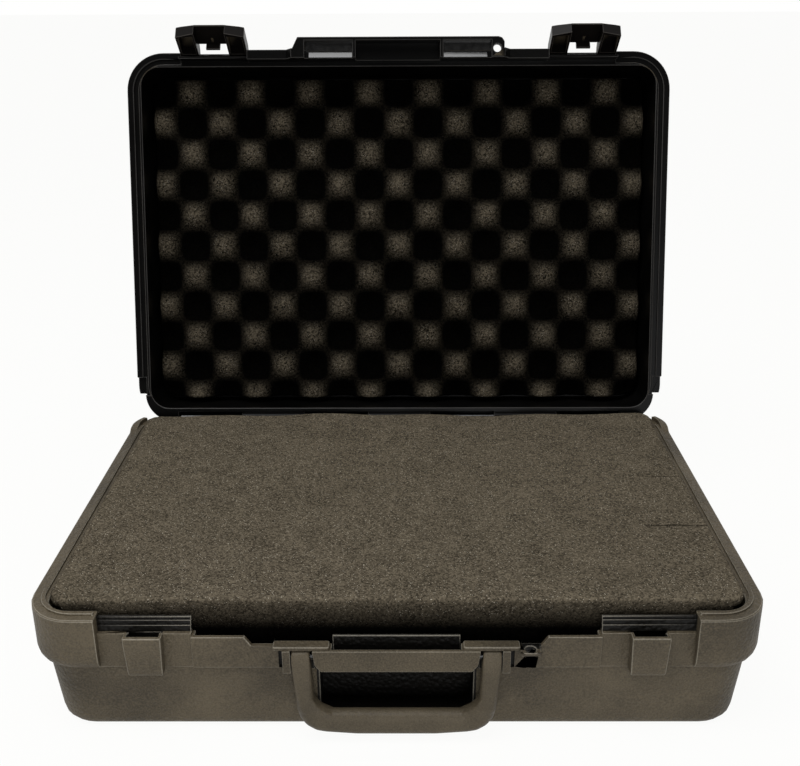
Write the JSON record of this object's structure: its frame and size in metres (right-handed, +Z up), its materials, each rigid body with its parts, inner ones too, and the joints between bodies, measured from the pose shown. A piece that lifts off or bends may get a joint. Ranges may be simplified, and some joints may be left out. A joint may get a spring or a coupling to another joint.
{
  "type": "laptop hard case",
  "caption": "Hard-shell laptop case shown open: hinged lid with egg-crate foam, base with a scored foam block, two snap latches and a hanging bail handle",
  "frame": {"origin": "centre of the base's footprint on the floor", "axes": "+X to the right along the width, +Y to the back where the hinge is, +Z up; the handle and the latches face -Y"},
  "size_m": [0.47, 0.4489, 0.4201],
  "materials": {
    "shell": "pebble-grained moulded plastic, brownish black",
    "lid": "the same moulded plastic, seen nearly black",
    "fittings": "smoother moulded plastic of the handle and the latches",
    "steel": "plain steel pins and rod",
    "foam": "open-cell foam, charcoal with light specks"
  },
  "bodies": {
    "base": {"base_shell": "shell", "hinge_rod": "steel", "handle_pin_left": "steel", "handle_pin_right": "steel", "base_foam": "foam", "base_foam_pad": "foam"},
    "lid": {"lid_shell": "lid", "lid_foam": "foam", "latch_pin_left": "steel", "latch_pin_right": "steel"},
    "latch_left": {"latch_left": "fittings"},
    "latch_right": {"latch_right": "fittings"},
    "handle": {"handle": "fittings"}
  },
  "joints": [
    {"name": "lid_hinge", "type": "hinge", "parent": "base", "child": "lid", "pos_m": [0, 0.157, 0.0882], "axis": [1, 0, 0], "range_deg": [0, 104.3]},
    {"name": "latch_left_hinge", "type": "hinge", "parent": "lid", "child": "latch_left", "pos_m": [-0.1585, 0.2382, 0.39381], "axis": [1, 0, 0], "range_deg": [-64, 26]},
    {"name": "latch_right_hinge", "type": "hinge", "parent": "lid", "child": "latch_right", "pos_m": [0.1585, 0.2382, 0.39381], "axis": [1, 0, 0], "range_deg": [-64, 26]},
    {"name": "handle_hinge", "type": "hinge", "parent": "base", "child": "handle", "pos_m": [0, -0.1595, 0.0613], "axis": [1, 0, 0], "range_deg": [-90, 0]}
  ]
}
